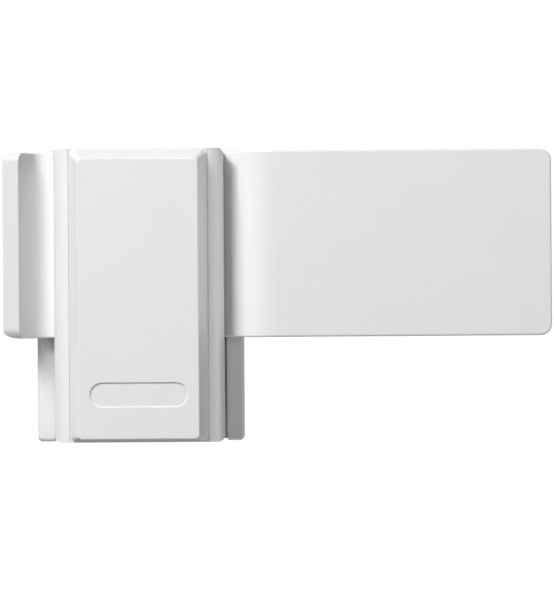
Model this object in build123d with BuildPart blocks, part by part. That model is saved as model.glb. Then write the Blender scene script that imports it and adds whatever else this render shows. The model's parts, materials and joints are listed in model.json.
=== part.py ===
from build123d import *
import os

os.makedirs("parts", exist_ok=True)

# Window swing-bolt guard. The back (y = 0) lies on the window frame and the front faces -Y.
# "Depth" is the distance in front of the window frame, so a depth of 9 is the plane y = -9.
# The origin is the middle of the four frame screws, on the window frame.

# Driving dimensions, in millimetres
cover_width = 40.0
cover_height = 69.1
base_width = 49.2
base_height = 69.3
plate_height = 44.0
plate_thickness = 3.5
pivot_height = 11.95  # the swivel axis stands this far above the origin, at the plate's mid height
wing_end = 97.2  # the wing's far end, from the swivel axis
lip_end = 32.05  # the lip's outer edge, from the swivel axis
fit_gap = 0.05  # radial play of a shaft or screw in its hole
loose_gap = 0.2  # radial play of a washer on the journal
rest_gap = 0.1  # play between pieces that are pressed together by springs or nuts
glide_gap = 2.0  # between the base and the plate's flat middle

# Depths of the layers, from the window frame to the room
packing_depth = 2.0
base_front = 6.5
plate_back = base_front + glide_gap
plate_front = plate_back + plate_thickness
wing_front = 19.0
wing_back = wing_front - plate_thickness
lip_front = 17.0
shoulder_front = 20.5
cover_front = 25.0
tail_back = 7.3  # the back of the housing and carrier below the plate
cover_wall = 2.0

# The swivel
journal_radius = 6.0
thread_radius = 4.0
bush_radius = 8.0
bush_flange_radius = 9.8
bush_front = plate_front + 1.2
washer_front = bush_front + 0.9
spring_height = 1.6
nut_seat = washer_front + spring_height
stud_end = 21.2

# The stop and the detent
stop_radius = 13.0  # from the swivel axis to the stop pin
stop_pin_radius = 2.5
stop_angle = 45.0
swing = 90.0
slot_play = 0.3
detent_radius = 17.5  # from the swivel axis to the plunger
plunger_radius = 2.9
plunger_back = plate_back + 7.3
socket_radius = 3.2
socket_depth = 3.2
pin_depth = 3.5  # how far the stop pin is let into the base
glide_pad_radius = 2.5
glide_pad_depth = 2.0
glide_pad_circle = 14.6  # from the swivel axis to each pad
glide_pad_turn = -150.0

# Frame screws
screw_spacing_x = 30.0
screw_spacing_z = 56.0
screw_hole_radius = 2.6
screw_head_radius = 4.8


def layer(depth, height=0.0):
    """The plane at this depth that faces the room: its x is +X and its y is +Z, from this height."""
    return Plane(origin=(0, -depth, height), x_dir=(1, 0, 0), z_dir=(0, -1, 0))


def pivot(depth):
    """The same plane with its origin on the swivel axis."""
    return layer(depth, pivot_height)


def disc(plane, radius, thickness, bore=0.0):
    """A disc or ring on a plane, built up towards the room. It joins the open part."""
    with BuildSketch(plane) as ring:
        Circle(radius)
        if bore:
            Circle(bore, mode=Mode.SUBTRACT)
    extrude(ring.sketch, amount=thickness)


def keep(part, name):
    """Name a finished piece and write its STEP file."""
    part.label = name
    export_step(part, "parts/" + name + ".step")


# ---------------------------------------------------------------- base, fixed to the window frame

# Packer: a flat plastic plate a little smaller than the base, with a window to save material.
packing_inset = 0.4
packing_window_height = -17.0
with BuildPart() as packing_plate:
    with BuildSketch(layer(0)):
        RectangleRounded(base_width - 2 * packing_inset, base_height - 2 * packing_inset, 1.6)
        with GridLocations(screw_spacing_x, screw_spacing_z, 2, 2):
            Circle(screw_hole_radius, mode=Mode.SUBTRACT)
        with Locations((0, packing_window_height)):
            RectangleRounded(24, 12, 2, mode=Mode.SUBTRACT)
    extrude(amount=packing_depth)
keep(packing_plate.part, "packing_plate")

# Base: a slab whose middle stands between two side rails, with a groove beside each rail.
groove_width = 1.1
groove_centre = cover_width / 2 - 0.1
groove_floor = 3.6
stud_head_radius = 8.9
stud_head_front = 4.5
with BuildPart() as base_plate:
    with BuildSketch(layer(packing_depth)):
        RectangleRounded(base_width, base_height, 1.2)
    extrude(amount=base_front - packing_depth)
    fillet(base_plate.faces().sort_by(Axis.Y)[0].edges(), radius=0.9)
    with BuildSketch(layer(groove_floor)):
        with Locations((-groove_centre, 0), (groove_centre, 0)):
            Rectangle(groove_width, base_height)
    extrude(amount=base_front, mode=Mode.SUBTRACT)
    # Each groove runs out through a small notch at its ends.
    with BuildSketch(layer(0)):
        with GridLocations(2 * groove_centre, base_height, 2, 2):
            SlotOverall(5.0, groove_width + 0.3, rotation=90)
    extrude(amount=base_front, mode=Mode.SUBTRACT)
    with Locations(layer(base_front)):
        with GridLocations(screw_spacing_x, screw_spacing_z, 2, 2):
            CounterSinkHole(screw_hole_radius, screw_head_radius, counter_sink_angle=90)
    with Locations(pivot(base_front)):
        Hole(journal_radius + fit_gap)
        with PolarLocations(stop_radius, 1, start_angle=stop_angle):
            Hole(stop_pin_radius, depth=pin_depth)
        with PolarLocations(detent_radius, 2, start_angle=180, angular_range=180):
            Hole(socket_radius, depth=socket_depth)
        with PolarLocations(glide_pad_circle, 3, start_angle=glide_pad_turn):
            Hole(glide_pad_radius, depth=glide_pad_depth)
    with BuildSketch(pivot(packing_depth)):
        Circle(stud_head_radius + fit_gap)
    extrude(amount=stud_head_front - packing_depth, mode=Mode.SUBTRACT)
keep(base_plate.part, "base_plate")

# Stud: head, plain journal, and a thinner threaded end with a screwdriver slot.
slot_width = 1.0
slot_depth = 1.2
with BuildPart() as pivot_stud:
    disc(pivot(packing_depth), stud_head_radius, stud_head_front - packing_depth)
    disc(pivot(stud_head_front), journal_radius, nut_seat - stud_head_front)
    disc(pivot(nut_seat), thread_radius, stud_end - nut_seat)
    chamfer(pivot_stud.faces().sort_by(Axis.Y)[0].edges(), length=0.6)
    with BuildSketch(pivot(stud_end - slot_depth)):
        Rectangle(2 * thread_radius, slot_width)
    extrude(amount=slot_depth, mode=Mode.SUBTRACT)
keep(pivot_stud.part, "pivot_stud")

with BuildPart() as thrust_washer:
    disc(pivot(base_front), bush_flange_radius, glide_gap - rest_gap, bore=journal_radius + loose_gap)
keep(thrust_washer.part, "thrust_washer")

friction_washer_radius = 9.4
with BuildPart() as friction_washer:
    disc(
        pivot(bush_front + rest_gap),
        friction_washer_radius,
        washer_front - bush_front - rest_gap,
        bore=journal_radius + loose_gap,
    )
keep(friction_washer.part, "friction_washer")

# Disc spring: a shallow cone whose rim rests on the washer and whose inner edge meets the nut.
spring_bore = journal_radius + loose_gap + rest_gap
spring_rim = 8.8
spring_sheet = 0.6
with BuildPart() as disc_spring:
    with BuildSketch(Plane.XY.move(Location((0, 0, pivot_height)))):
        with BuildLine():
            Polyline(
                (spring_rim, -washer_front),
                (spring_rim, -washer_front - spring_sheet),
                (spring_bore, -nut_seat),
                (spring_bore, -nut_seat + spring_sheet),
                close=True,
            )
        make_face()
    revolve(axis=Axis((0, 0, pivot_height), (0, 1, 0)))
keep(disc_spring.part, "disc_spring")

# Lock nut: flange, hexagon, and a collar that holds the nylon ring.
nut_flange = 1.2
nut_flange_radius = 8.0
nut_hexagon = 3.0
nut_half_flats = 6.5
collar_radius = 6.0
collar_height = 0.8
ring_radius = 5.2
ring_depth = 1.0
collar_front = nut_seat + nut_flange + nut_hexagon + collar_height
with BuildPart() as pivot_nut:
    disc(pivot(nut_seat), nut_flange_radius, nut_flange)
    with BuildSketch(pivot(nut_seat + nut_flange)):
        RegularPolygon(nut_half_flats, 6, major_radius=False)
    extrude(amount=nut_hexagon)
    disc(pivot(collar_front - collar_height), collar_radius, collar_height)
    with Locations(pivot(collar_front)):
        CounterBoreHole(thread_radius + fit_gap, ring_radius, ring_depth)
keep(pivot_nut.part, "pivot_nut")

with BuildPart() as nut_locking_ring:
    disc(pivot(collar_front - ring_depth), ring_radius, ring_depth - 0.2, bore=thread_radius + fit_gap)
keep(nut_locking_ring.part, "nut_locking_ring")

with BuildPart() as stop_pin:
    with BuildSketch(pivot(base_front - pin_depth)):
        with PolarLocations(stop_radius, 1, start_angle=stop_angle):
            Circle(stop_pin_radius)
    extrude(amount=pin_depth + plate_front - base_front - loose_gap)
    chamfer(stop_pin.faces().sort_by(Axis.Y)[0].edges(), length=0.4)
keep(stop_pin.part, "stop_pin")

# Sockets: hardened cups, flush with the base, one for each end of the swing.
socket_bore = 1.2
socket_mouth = 2.5
with BuildPart() as detent_sockets:
    with BuildSketch(pivot(base_front - socket_depth)):
        with PolarLocations(detent_radius, 2, start_angle=180, angular_range=180):
            Circle(socket_radius)
    extrude(amount=socket_depth)
    with Locations(pivot(base_front)):
        with PolarLocations(detent_radius, 2, start_angle=180, angular_range=180):
            CounterSinkHole(socket_bore, socket_mouth, depth=2.7, counter_sink_angle=90)
keep(detent_sockets.part, "detent_sockets")

with BuildPart() as glide_pads:
    with BuildSketch(pivot(base_front - glide_pad_depth)):
        with PolarLocations(glide_pad_circle, 3, start_angle=glide_pad_turn):
            Circle(glide_pad_radius)
    extrude(amount=glide_pad_depth + glide_gap - rest_gap)
    fillet(glide_pads.faces().group_by(Axis.Y)[0].edges(), radius=0.3)
keep(glide_pads.part, "glide_pads")

# ---------------------------------------------------------------- the unit that turns

# Plate: one thick strip, bent. From the left: slanted lip, round valley, short ramp, flat middle,
# step, wing. Its back edges are rounded more than its front ones.
middle_line = -(plate_back + plate_thickness / 2)
wing_line = -(wing_front - plate_thickness / 2)
lip_start = (-31.5, -19.2)  # the strip starts here and is then cut off at the lip's front
valley_corner = (-24.4, -6.4)  # where the lines of lip and ramp meet, before the valley is rounded
ramp_top = (-19.02, middle_line)
valley_radius = 3.0
ramp_radius = 2.6
step_start = 21.6
step_end = 28.4
step_radius = 4.0
wing_radius = 9.0
wing_start = 50.0
plate_bottom = pivot_height - plate_height / 2
front_edge_radius = 0.5
back_edge_radius = 2.2
lip_edge_radius = 0.25
lip_corner = 2.3
wing_corner = 2.7
carrier_screw_radius = 2.0
carrier_screw_spots = [(-13.4, -15), (13.4, -15), (-13.4, 15), (13.4, 15)]
with BuildPart() as wing:
    with BuildSketch(pivot(wing_back)):
        with Locations((wing_start, 0)):
            RectangleRounded(2 * (wing_end - wing_start), plate_height, wing_corner)
    extrude(amount=plate_thickness)
    fillet(wing.faces().sort_by(Axis.Y)[0].edges(), radius=front_edge_radius)
    fillet(wing.faces().sort_by(Axis.Y)[-1].edges(), radius=back_edge_radius)
    split(bisect_by=Plane.YZ.offset(wing_start), keep=Keep.TOP)

with BuildPart() as swivel_plate:
    with BuildLine(Plane.XY.offset(pivot_height)) as strip:
        FilletPolyline(
            lip_start,
            valley_corner,
            ramp_top,
            (step_start, middle_line),
            (step_end, wing_line),
            (wing_start, wing_line),
            radius=[valley_radius + plate_thickness / 2, ramp_radius, step_radius, wing_radius],
        )
    with BuildSketch(Plane(origin=strip.line @ 0, x_dir=(0, 0, 1), z_dir=strip.line % 0)):
        Rectangle(plate_height, plate_thickness)
        fillet(vertices().group_by(Axis.Y)[0], radius=back_edge_radius)
        fillet(vertices().group_by(Axis.Y)[-1], radius=front_edge_radius)
    sweep()
    # The lip is cut off level with the front, and its two free corners are cut round.
    with BuildSketch(layer(lip_front, pivot_height)):
        with Locations((-lip_end, 0)):
            Rectangle(20, plate_height + 1)
    extrude(amount=5, mode=Mode.SUBTRACT)
    lip_face = swivel_plate.faces().filter_by(Plane.XZ).sort_by(Axis.X)[0]
    fillet(lip_face.edges(), radius=lip_edge_radius)
    corner_height = plate_height / 2 - lip_corner
    with BuildSketch(Plane.YZ.offset(-lip_end - 1)):
        with Locations((-lip_front, pivot_height)):
            Rectangle(2 * lip_corner, plate_height + 1)
            Rectangle(2 * lip_corner, 2 * corner_height, mode=Mode.SUBTRACT)
            with Locations((lip_corner, -corner_height), (lip_corner, corner_height)):
                Circle(lip_corner, mode=Mode.SUBTRACT)
    extrude(amount=8, mode=Mode.SUBTRACT)
    add(wing.part)
    with Locations(pivot(plate_front)):
        Hole(bush_radius)
        with PolarLocations(detent_radius, 1, start_angle=-90):
            Hole(plunger_radius + fit_gap)
    with BuildSketch(pivot(plate_back - 1)):
        with BuildLine():
            stop_arc = CenterArc((0, 0), stop_radius, stop_angle, swing)
        SlotArc(arc=stop_arc, height=2 * (stop_pin_radius + slot_play))
    extrude(amount=plate_thickness + 2, mode=Mode.SUBTRACT)
    with Locations(pivot(plate_back).rotated((180, 0, 0))):
        with Locations(*[(x, -z) for x, z in carrier_screw_spots]):
            CounterSinkHole(carrier_screw_radius + 0.1, 3.8, depth=plate_thickness + 1, counter_sink_angle=90)
keep(swivel_plate.part, "swivel_plate")

with BuildPart() as bearing_bush:
    disc(pivot(plate_back + rest_gap), bush_radius, plate_front - plate_back, bore=journal_radius + fit_gap)
    disc(pivot(plate_front), bush_flange_radius, bush_front - plate_front, bore=journal_radius + fit_gap)
keep(bearing_bush.part, "bearing_bush")

# Carrier: a frame in front of the plate, a tail block below the plate, and the plunger's boss.
carrier_width = 32.8
carrier_top = 31.0
carrier_bottom = -31.8
carrier_front = 17.2
tail_top = plate_bottom - 0.3
detent_screw_back = plunger_back + 2.8
boss_front = detent_screw_back + 2.2
plunger_height = pivot_height - detent_radius
boss_radius = 5.5
nut_window = 11.0  # radius of the opening round the bush and nut
tail_hollow = 4.5
cover_screw_depth = 12.5
cover_screw_radius = 1.5
cover_screw_length = 9.0
with BuildPart() as carrier_block:
    with BuildSketch(layer(plate_front)):
        with Locations((0, (carrier_top + carrier_bottom) / 2)):
            RectangleRounded(carrier_width, carrier_top - carrier_bottom, 1.5)
    extrude(amount=carrier_front - plate_front)
    with BuildSketch(layer(tail_back + loose_gap)):
        with Locations((0, (tail_top + carrier_bottom) / 2)):
            RectangleRounded(carrier_width, tail_top - carrier_bottom, 1.5)
    extrude(amount=plate_front - tail_back)
    with BuildSketch(layer(tail_back + loose_gap)):
        with Locations((0, tail_top - 8)):
            RectangleRounded(24, 8, 1.5)
    extrude(amount=tail_hollow, mode=Mode.SUBTRACT)
    with BuildSketch(layer(plate_front)):
        with Locations((0, plunger_height)):
            Circle(boss_radius)
    extrude(amount=boss_front - plate_front)
    with BuildSketch(pivot(plate_front)):
        Circle(nut_window)
        with Locations((0, 13.0)):
            RectangleRounded(20, 8, 1.5)
    extrude(amount=carrier_front, mode=Mode.SUBTRACT)
    with Locations(pivot(carrier_front)):
        with Locations(*carrier_screw_spots):
            Hole(carrier_screw_radius + fit_gap)
    with Locations(layer(boss_front)):
        with Locations((0, plunger_height)):
            Hole(plunger_radius + 3 * fit_gap)
    with Locations(Plane(origin=(0, -cover_screw_depth, carrier_bottom), z_dir=(0, 0, -1))):
        Hole(cover_screw_radius + fit_gap, depth=cover_screw_length)
keep(carrier_block.part, "carrier_block")

# Carrier screws: flat heads flush with the plate's back.
carrier_screw_head = 3.6
carrier_screw_cone = carrier_screw_head - carrier_screw_radius
with BuildPart() as carrier_screws:
    with BuildSketch(pivot(plate_back + 0.05)):
        with Locations(*carrier_screw_spots):
            Circle(carrier_screw_radius)
    extrude(amount=carrier_front - plate_back - 0.4)
    for x, z in carrier_screw_spots:
        with BuildSketch(pivot(plate_back + 0.05)):
            with Locations((x, z)):
                Circle(carrier_screw_head)
        extrude(amount=carrier_screw_cone, taper=45)
    with BuildSketch(pivot(plate_back)):
        with Locations(*carrier_screw_spots):
            RegularPolygon(1.2, 6)
    extrude(amount=1.3, mode=Mode.SUBTRACT)
keep(carrier_screws.part, "carrier_screws")

# Housing: rounded shoulders with a raised panel whose four sides slope by different amounts.
half_width = cover_width / 2
half_height = cover_height / 2
panel_half_width = 16.35
panel_front_half_width = 14.1
panel_front_top = half_height - 2.5
panel_front_bottom = -half_height + 0.8
panel_groove = 0.3
shoulder_edge = 17.2
shoulder_bulge = (18.75, -19.35)
shoulder_start = 16.3
body_back = plate_front + loose_gap
tail_middle = (tail_top - half_height) / 2
corner_radius = 1.3
badge_height = -23.3
badge_size = (22.9, 5.7)
badge_depth = 0.35
with BuildPart() as housing_cover:
    with BuildSketch(Plane.XY.offset(-half_height)):
        with BuildLine():
            Polyline((0, -body_back), (half_width, -body_back), (half_width, -shoulder_edge))
            ThreePointArc(
                (half_width, -shoulder_edge),
                shoulder_bulge,
                (shoulder_start, -shoulder_front),
            )
            Line((shoulder_start, -shoulder_front), (0, -shoulder_front))
            mirror(about=Plane.YZ)
        make_face()
    extrude(amount=cover_height)
    with BuildSketch(layer(tail_back)):
        with Locations((0, tail_middle)):
            Rectangle(cover_width, tail_top + half_height)
    extrude(amount=body_back - tail_back)
    fillet(housing_cover.edges().filter_by(Axis.Y).group_by(Axis.Z)[-1], radius=corner_radius)
    fillet(housing_cover.edges().filter_by(Axis.Y).group_by(Axis.Z)[0], radius=corner_radius)
    # A fine groove parts the panel from the shoulders.
    with BuildSketch(layer(shoulder_front - panel_groove)):
        with Locations((-panel_half_width, 0), (panel_half_width, 0)):
            Rectangle(panel_groove, cover_height)
    extrude(amount=1, mode=Mode.SUBTRACT)
    with BuildSketch(layer(shoulder_front - panel_groove)):
        RectangleRounded(2 * panel_half_width, cover_height, 1.6)
    with BuildSketch(layer(cover_front)):
        with Locations((0, (panel_front_top + panel_front_bottom) / 2)):
            RectangleRounded(2 * panel_front_half_width, panel_front_top - panel_front_bottom, 1.0)
    loft()
    fillet(housing_cover.faces().sort_by(Axis.Y)[0].edges(), radius=0.4)
    with BuildSketch(layer(cover_front - badge_depth)):
        with Locations((0, badge_height)):
            SlotOverall(*badge_size)
    extrude(amount=1, mode=Mode.SUBTRACT)
    badge_rim = housing_cover.faces().sort_by(Axis.Y)[0].inner_wires()[0].edges()
    fillet(badge_rim, radius=0.15)
    # The hollow: a wide chamber behind the shoulders and a narrower one behind the panel.
    with BuildSketch(layer(0)):
        RectangleRounded(cover_width - 2 * cover_wall, cover_height - 2 * cover_wall, 0.8)
    extrude(amount=shoulder_edge + 0.6, mode=Mode.SUBTRACT)
    with BuildSketch(layer(shoulder_edge)):
        with Locations((0, -1)):
            RectangleRounded(2 * panel_front_half_width - 0.6, cover_height - 8, 0.8)
    extrude(amount=cover_front - cover_wall - shoulder_edge, mode=Mode.SUBTRACT)
    with Locations(Plane(origin=(0, -cover_screw_depth, -half_height), z_dir=(0, 0, -1))):
        CounterSinkHole(cover_screw_radius + 0.2, 3.1, depth=cover_wall + 0.5, counter_sink_angle=90)
keep(housing_cover.part, "housing_cover")

# Cover screw: enters the underside of the housing and bites into the carrier's tail.
cover_screw_head = 2.9
screw_bottom = Plane((0, -cover_screw_depth, -half_height + 0.05))
with BuildPart() as cover_screw:
    with BuildSketch(screw_bottom):
        Circle(cover_screw_head)
    extrude(amount=cover_screw_head - cover_screw_radius, taper=45)
    with BuildSketch(screw_bottom):
        Circle(cover_screw_radius)
    extrude(amount=cover_screw_length)
    with BuildSketch(screw_bottom):
        RegularPolygon(1.0, 6)
    extrude(amount=1.2, mode=Mode.SUBTRACT)
keep(cover_screw.part, "cover_screw")

# Clips: bowed spring strips on both sides of the carrier that press on the housing's walls.
clip_sheet = 0.5
clip_width = 8.0
clip_height = 20.0
clip_root = carrier_width / 2 + clip_sheet / 2
clip_crown = half_width - cover_wall - clip_sheet / 2 - rest_gap
clip_crown_depth = 15.3
clip_bow = 1.1
with BuildPart() as cover_clips:
    with BuildSketch(Plane.XY.offset(clip_height)):
        with BuildLine():
            FilletPolyline(
                (clip_root, -body_back),
                (clip_root, -clip_crown_depth + clip_bow),
                (clip_crown, -clip_crown_depth),
                (clip_root, -clip_crown_depth - clip_bow),
                (clip_root, -carrier_front),
                radius=0.4,
            )
        trace(line_width=clip_sheet)
    extrude(amount=clip_width)
    mirror(about=Plane.YZ)
keep(cover_clips.part, "cover_clips")

# Detent: plunger, coil spring and a socket screw that closes the bore.
detent_screw_length = 2.1
detent_key_depth = 1.2
with BuildPart() as detent_screw:
    disc(layer(detent_screw_back, plunger_height), plunger_radius + 2 * fit_gap, detent_screw_length)
    with BuildSketch(layer(detent_screw_back + detent_screw_length - detent_key_depth, plunger_height)):
        RegularPolygon(1.5, 6)
    extrude(amount=detent_key_depth, mode=Mode.SUBTRACT)
keep(detent_screw.part, "detent_screw")

nose_tip = plate_back + rest_gap
nose_root = nose_tip + 1.6
nose_tip_radius = 0.8
with BuildPart() as detent_plunger:
    with BuildSketch(layer(nose_tip, plunger_height)):
        Circle(nose_tip_radius)
    with BuildSketch(layer(nose_root, plunger_height)):
        Circle(plunger_radius)
    loft()
    disc(layer(nose_root, plunger_height), plunger_radius, plunger_back - nose_root)
keep(detent_plunger.part, "detent_plunger")

coil_wire = 0.3
coil_radius = 2.0
coil_length = detent_screw_back - plunger_back - 2 * coil_wire - rest_gap
with BuildPart() as detent_spring:
    with BuildLine() as coil:
        Helix(
            pitch=0.85,
            height=coil_length,
            radius=coil_radius,
            center=(0, -plunger_back - coil_wire - rest_gap / 2, plunger_height),
            direction=(0, -1, 0),
        )
    with BuildSketch(Plane(origin=coil.line @ 0, z_dir=coil.line % 0)):
        Circle(coil_wire)
    sweep()
keep(detent_spring.part, "detent_spring")

# Pad: soft strip glued to the back of the wing, where the sash meets it.
pad_length = 56.0
pad_height = 34.0
pad_thickness = 1.5
pad_inset = 5.0  # from the wing's end
with BuildPart() as sash_pad:
    with BuildSketch(pivot(wing_back - pad_thickness)):
        with Locations((wing_end - pad_inset - pad_length / 2, 0)):
            RectangleRounded(pad_length, pad_height, 3)
    extrude(amount=pad_thickness)
    fillet(sash_pad.faces().sort_by(Axis.Y)[-1].edges(), radius=0.5)
keep(sash_pad.part, "sash_pad")
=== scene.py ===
import json
import math

import bpy
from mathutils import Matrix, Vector


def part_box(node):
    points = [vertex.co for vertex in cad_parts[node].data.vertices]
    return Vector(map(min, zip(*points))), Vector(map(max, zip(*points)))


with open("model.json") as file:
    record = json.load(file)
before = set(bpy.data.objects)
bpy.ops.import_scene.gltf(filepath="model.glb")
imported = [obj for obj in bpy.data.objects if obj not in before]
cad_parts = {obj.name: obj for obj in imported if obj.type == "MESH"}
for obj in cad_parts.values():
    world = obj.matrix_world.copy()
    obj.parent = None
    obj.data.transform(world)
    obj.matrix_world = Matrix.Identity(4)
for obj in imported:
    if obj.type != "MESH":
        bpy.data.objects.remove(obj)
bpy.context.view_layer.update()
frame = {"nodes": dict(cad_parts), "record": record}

MM = 0.001

# ---------------------------------------------------------------- material helpers

# How far the rounded normal agrees with the true one, on a sharp edge and on a flat face
AGREES_ON_EDGE = 0.86
AGREES_ON_FACE = 0.995


class Surface:
    """A node material under construction: one Principled shader and the nodes that feed it."""

    def __init__(self, name, color, roughness, metallic=0.0):
        self.material = bpy.data.materials.new(name)
        self.material.use_nodes = True
        self.nodes = self.material.node_tree.nodes
        self.links = self.material.node_tree.links
        self.shader = self.nodes["Principled BSDF"]
        self.color = (*color, 1.0)
        self.shader.inputs["Base Color"].default_value = self.color
        self.shader.inputs["Roughness"].default_value = roughness
        self.shader.inputs["Metallic"].default_value = metallic
        self.place = self.nodes.new("ShaderNodeTexCoord").outputs["Object"]
        self.normal = None

    def node(self, kind, **values):
        made = self.nodes.new("ShaderNode" + kind)
        for key, value in values.items():
            setattr(made, key, value)
        return made

    def stretched(self, scale):
        """Object coordinates scaled differently along each axis, for brushed or turned marks."""
        mapping = self.node("Mapping")
        mapping.inputs["Scale"].default_value = scale
        self.links.new(self.place, mapping.inputs["Vector"])
        return mapping.outputs["Vector"]

    def noise(self, grain, detail=3.0, distortion=0.0, place=None):
        """Noise whose features are about `grain` metres across."""
        made = self.node("TexNoise")
        made.inputs["Scale"].default_value = 1.0 / grain
        made.inputs["Detail"].default_value = detail
        made.inputs["Distortion"].default_value = distortion
        self.links.new(place or self.place, made.inputs["Vector"])
        return made.outputs["Fac"]

    def ranged(self, value, low, high, start=0.0, end=1.0):
        """Map a value from start..end to low..high."""
        made = self.node("MapRange")
        made.inputs["From Min"].default_value = start
        made.inputs["From Max"].default_value = end
        made.inputs["To Min"].default_value = low
        made.inputs["To Max"].default_value = high
        self.links.new(value, made.inputs["Value"])
        return made.outputs["Result"]

    def blend(self, mask, other):
        """Mix another colour over the base colour where the mask is high."""
        made = self.node("Mix", data_type="RGBA")
        here = self.shader.inputs["Base Color"]
        if here.is_linked:
            self.links.new(here.links[0].from_socket, made.inputs["A"])
        else:
            made.inputs["A"].default_value = self.color
        made.inputs["B"].default_value = (*other, 1.0)
        self.links.new(mask, made.inputs["Factor"])
        self.links.new(made.outputs["Result"], here)

    def rough(self, value, low, high):
        """Let the roughness follow a value."""
        mapped = self.ranged(value, low, high, start=0.3, end=0.7)
        self.links.new(mapped, self.shader.inputs["Roughness"])

    def bump(self, height, depth, strength=1.0):
        """Raise the surface by up to `depth` metres; calls add up."""
        made = self.node("Bump")
        made.inputs["Distance"].default_value = depth
        made.inputs["Strength"].default_value = strength
        self.links.new(height, made.inputs["Height"])
        if self.normal:
            self.links.new(self.normal, made.inputs["Normal"])
        self.normal = made.outputs["Normal"]
        self.links.new(self.normal, self.shader.inputs["Normal"])

    def edges(self, radius, gain):
        """A mask of the sharp edges: where the rounded normal leaves the true one."""
        rounded = self.node("Bevel", samples=6)
        rounded.inputs["Radius"].default_value = radius
        true = self.node("NewGeometry")
        dot = self.node("VectorMath", operation="DOT_PRODUCT")
        self.links.new(rounded.outputs["Normal"], dot.inputs[0])
        self.links.new(true.outputs["Normal"], dot.inputs[1])
        return self.ranged(dot.outputs["Value"], gain, 0.0, start=AGREES_ON_EDGE, end=AGREES_ON_FACE)


def shade(color, factor):
    """The colour made darker or lighter, at most white."""
    return tuple(min(1.0, c * factor) for c in color)


def powder_coat(name, color, swirl):
    """White powder coat: fine orange peel, faint mottling, and a painted highlight that makes the
    edges a little lighter.
    """
    coat = Surface(name, color, 0.42)
    peel = coat.noise(0.9 * MM, detail=2.0)
    grain = coat.noise(0.16 * MM, detail=2.0)
    clouds = coat.noise(14 * MM, detail=4.0, distortion=swirl)
    coat.blend(coat.ranged(clouds, 0.0, 0.35, start=0.45, end=0.75), shade(color, 0.972))
    # Painted highlight: the sharp edges are made a little lighter, as if they catch the light.
    coat.blend(coat.edges(0.5 * MM, 0.5), shade(color, 1.035))
    specks = coat.noise(0.35 * MM, detail=1.0)
    coat.blend(coat.ranged(specks, 0.0, 0.5, start=0.74, end=0.80), shade(color, 0.9))
    coat.rough(clouds, 0.36, 0.48)
    coat.bump(peel, 0.018 * MM, 0.45)
    coat.bump(grain, 0.006 * MM, 0.35)
    coat.shader.inputs["Specular IOR Level"].default_value = 0.45
    coat.shader.inputs["Coat Weight"].default_value = 0.12
    coat.shader.inputs["Coat Roughness"].default_value = 0.22
    return coat.material


def moulded_plastic(name, color, roughness):
    """Moulded plastic: spark-eroded texture, faint flow clouds, and a painted highlight that lightens
    the edges.
    """
    plastic = Surface(name, color, roughness)
    texture = plastic.noise(0.22 * MM, detail=3.0)
    flow = plastic.noise(9 * MM, detail=3.0, distortion=1.5)
    plastic.blend(plastic.ranged(flow, 0.0, 0.5, start=0.4, end=0.7), shade(color, 0.93))
    # Painted highlight: the sharp edges are made lighter, as if they catch the light.
    plastic.blend(plastic.edges(0.3 * MM, 0.5), shade(color, 1.08))
    plastic.rough(flow, roughness - 0.06, roughness + 0.08)
    plastic.bump(texture, 0.02 * MM, 0.5)
    return plastic.material


def machined_metal(name, color, roughness, lay):
    """Metal with fine marks along the lay, worn bright on its edges."""
    metal = Surface(name, color, roughness, metallic=1.0)
    marks = metal.noise(0.5 * MM, detail=4.0, place=metal.stretched(lay))
    stains = metal.noise(3 * MM, detail=4.0, distortion=0.8)
    metal.blend(metal.ranged(stains, 0.0, 0.45, start=0.45, end=0.7), shade(color, 0.8))
    metal.blend(metal.edges(0.25 * MM, 0.8), shade(color, 1.25))
    metal.rough(marks, roughness - 0.08, roughness + 0.12)
    metal.bump(marks, 0.01 * MM, 0.35)
    return metal.material


def cast_metal(name, color):
    """Raw die casting: matt skin with shallow pits and flow marks."""
    cast = Surface(name, color, 0.5, metallic=0.9)
    skin = cast.noise(0.5 * MM, detail=5.0)
    flow = cast.noise(6 * MM, detail=4.0, distortion=2.0)
    cast.blend(cast.ranged(flow, 0.0, 0.6, start=0.4, end=0.7), shade(color, 0.78))
    cast.blend(cast.edges(0.3 * MM, 0.7), shade(color, 1.2))
    cast.rough(skin, 0.42, 0.62)
    cast.bump(skin, 0.03 * MM, 0.5)
    return cast.material


def cell_rubber(name, color):
    """Closed-cell rubber: open pores in a matt skin, its edges lighter, partly dust and partly a
    painted highlight.
    """
    rubber = Surface(name, color, 0.85)
    pores = rubber.node("TexVoronoi", feature="F1")
    pores.inputs["Scale"].default_value = 1.0 / (0.7 * MM)
    rubber.links.new(rubber.place, pores.inputs["Vector"])
    dust = rubber.noise(5 * MM, detail=5.0)
    rubber.blend(rubber.ranged(dust, 0.0, 0.5, start=0.5, end=0.75), shade(color, 1.7))
    # Edges made lighter: partly dust, partly a painted highlight as if they catch the light.
    rubber.blend(rubber.edges(0.5 * MM, 0.6), shade(color, 2.1))
    rubber.rough(dust, 0.76, 0.94)
    rubber.bump(pores.outputs["Distance"], 0.12 * MM, 0.6)
    return rubber.material


# Fine marks: a larger number packs them closer along that axis. Turned parts have their axis along Y.
TURNED = (1.0, 6.0, 1.0)
ROLLED = (1.0, 1.0, 8.0)

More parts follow.
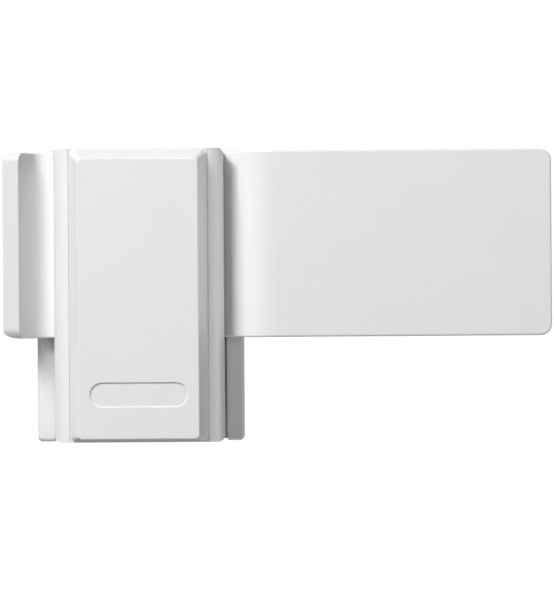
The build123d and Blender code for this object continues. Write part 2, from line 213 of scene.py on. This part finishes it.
LOOKS = {
    "plate_coat": powder_coat("plate_coat", (0.83, 0.83, 0.828), 0.4),
    "housing_coat": powder_coat("housing_coat", (0.84, 0.84, 0.838), 1.1),
    "base_coat": powder_coat("base_coat", (0.82, 0.822, 0.805), 0.7),
    "packer_plastic": moulded_plastic("packer_plastic", (0.68, 0.68, 0.66), 0.55),
    "nylon": moulded_plastic("nylon", (0.78, 0.76, 0.68), 0.45),
    "zinc_steel": machined_metal("zinc_steel", (0.66, 0.67, 0.69), 0.32, TURNED),
    "hard_steel": machined_metal("hard_steel", (0.40, 0.40, 0.42), 0.26, TURNED),
    "spring_steel": machined_metal("spring_steel", (0.34, 0.36, 0.42), 0.34, ROLLED),
    "bronze": machined_metal("bronze", (0.62, 0.40, 0.20), 0.42, TURNED),
    "die_cast": cast_metal("die_cast", (0.58, 0.58, 0.60)),
    "pad_rubber": cell_rubber("pad_rubber", (0.045, 0.045, 0.048)),
}

# ---------------------------------------------------------------- dress the CAD nodes

for part in frame["record"]["subparts"]:
    piece = frame["nodes"][part["node"]]
    piece.data.materials.clear()
    piece.data.materials.append(LOOKS[part["material_slot"]])

# ---------------------------------------------------------------- floor, world, lights

cover_low, cover_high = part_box("housing_cover")
cover_middle = (Vector(cover_low) + Vector(cover_high)) / 2
cover_front = cover_low[1]


FLOOR_MIDDLE = (0.03, 0.0, -0.8)
FLOOR_RADIUS = 0.62
FLOOR_GLOW = 0.25


def plain_floor():
    """A pale round floor well below the part, outside the main view. It glows a little, as if lit."""
    bpy.ops.mesh.primitive_circle_add(
        vertices=96, radius=FLOOR_RADIUS, fill_type="NGON", location=FLOOR_MIDDLE
    )
    floor = bpy.context.object
    floor.name = "studio_floor"
    paint = Surface("floor_paint", (0.86, 0.86, 0.86), 0.7)
    clouds = paint.noise(0.3)
    paint.blend(paint.ranged(clouds, 0.0, 0.2, start=0.4, end=0.7), (0.82, 0.82, 0.82))
    paint.shader.inputs["Emission Color"].default_value = (1.0, 1.0, 1.0, 1.0)
    paint.shader.inputs["Emission Strength"].default_value = FLOOR_GLOW
    floor.data.materials.append(paint.material)


SURROUND_SEEN = 1.05  # just past full white
SURROUND_FILL = 0.02


def studio_world():
    """A white surround: seen at full white, and lighting the part at a softer level."""
    world = bpy.data.worlds.new("studio")
    bpy.context.scene.world = world
    world.use_nodes = True
    nodes = world.node_tree.nodes
    links = world.node_tree.links
    seen = nodes["Background"]
    seen.inputs["Color"].default_value = (1.0, 1.0, 1.0, 1.0)
    seen.inputs["Strength"].default_value = SURROUND_SEEN
    lit = nodes.new("ShaderNodeBackground")
    lit.inputs["Color"].default_value = (1.0, 1.0, 1.0, 1.0)
    lit.inputs["Strength"].default_value = SURROUND_FILL
    path = nodes.new("ShaderNodeLightPath")
    mix = nodes.new("ShaderNodeMixShader")
    links.new(path.outputs["Is Camera Ray"], mix.inputs[0])
    links.new(lit.outputs["Background"], mix.inputs[1])
    links.new(seen.outputs["Background"], mix.inputs[2])
    links.new(mix.outputs["Shader"], nodes["World Output"].inputs["Surface"])


def soft_light(name, direction, distance, width, height, power):
    """An area light, in metres and watts, that faces the housing from this direction."""
    data = bpy.data.lights.new(name, "AREA")
    data.shape = "RECTANGLE"
    data.size = width
    data.size_y = height
    data.energy = power
    lamp = bpy.data.objects.new(name, data)
    bpy.context.collection.objects.link(lamp)
    towards = Vector(direction).normalized()
    lamp.location = cover_middle + towards * distance
    lamp.rotation_euler = (-towards).to_track_quat("-Z", "Y").to_euler()


plain_floor()
studio_world()
soft_light("key", (-0.65, -1.0, 1.0), distance=1.1, width=0.45, height=0.35, power=10.2)
soft_light("key_left", (-1.0, -1.0, 1.3), distance=1.1, width=0.28, height=0.28, power=3.1)
soft_light("left_side", (-1.0, -0.9, 0.3), distance=1.0, width=0.5, height=0.8, power=0.55)
soft_light("right_side", (1.0, -0.2, 0.0), distance=1.2, width=0.6, height=0.8, power=3.9)
soft_light("front", (0.1, -1.0, 0.1), distance=1.0, width=0.6, height=0.6, power=1.3)
soft_light("behind", (0.3, 1.0, 0.5), distance=1.2, width=0.9, height=0.9, power=9.0)
soft_light("behind_left", (-1.0, 0.8, 0.3), distance=1.2, width=0.8, height=0.8, power=2.5)

# ---------------------------------------------------------------- camera

VIEW_WIDTH = 129.6 * MM  # what the picture is wide at the housing's front face
CAMERA_DISTANCE = 1.08
CAMERA_SIDE = 32.5 * MM  # the camera stands this far right of the housing's middle
CAMERA_BELOW = 0.41 * MM  # and this far below it
CAMERA_ROLL = math.radians(0.4)

camera_data = bpy.data.cameras.new("camera")
camera = bpy.data.objects.new("camera", camera_data)
bpy.context.collection.objects.link(camera)
camera_data.sensor_fit = "HORIZONTAL"
camera_data.lens = camera_data.sensor_width * CAMERA_DISTANCE / VIEW_WIDTH
camera_data.clip_start = 0.05
camera_data.clip_end = 50.0
camera.location = (
    cover_middle.x + CAMERA_SIDE,
    cover_front - CAMERA_DISTANCE,
    cover_middle.z - CAMERA_BELOW,
)
camera.rotation_euler = (math.radians(90), CAMERA_ROLL, 0.0)
bpy.context.scene.camera = camera

bpy.context.scene.view_settings.view_transform = "Standard"
bpy.context.scene.view_settings.look = "None"
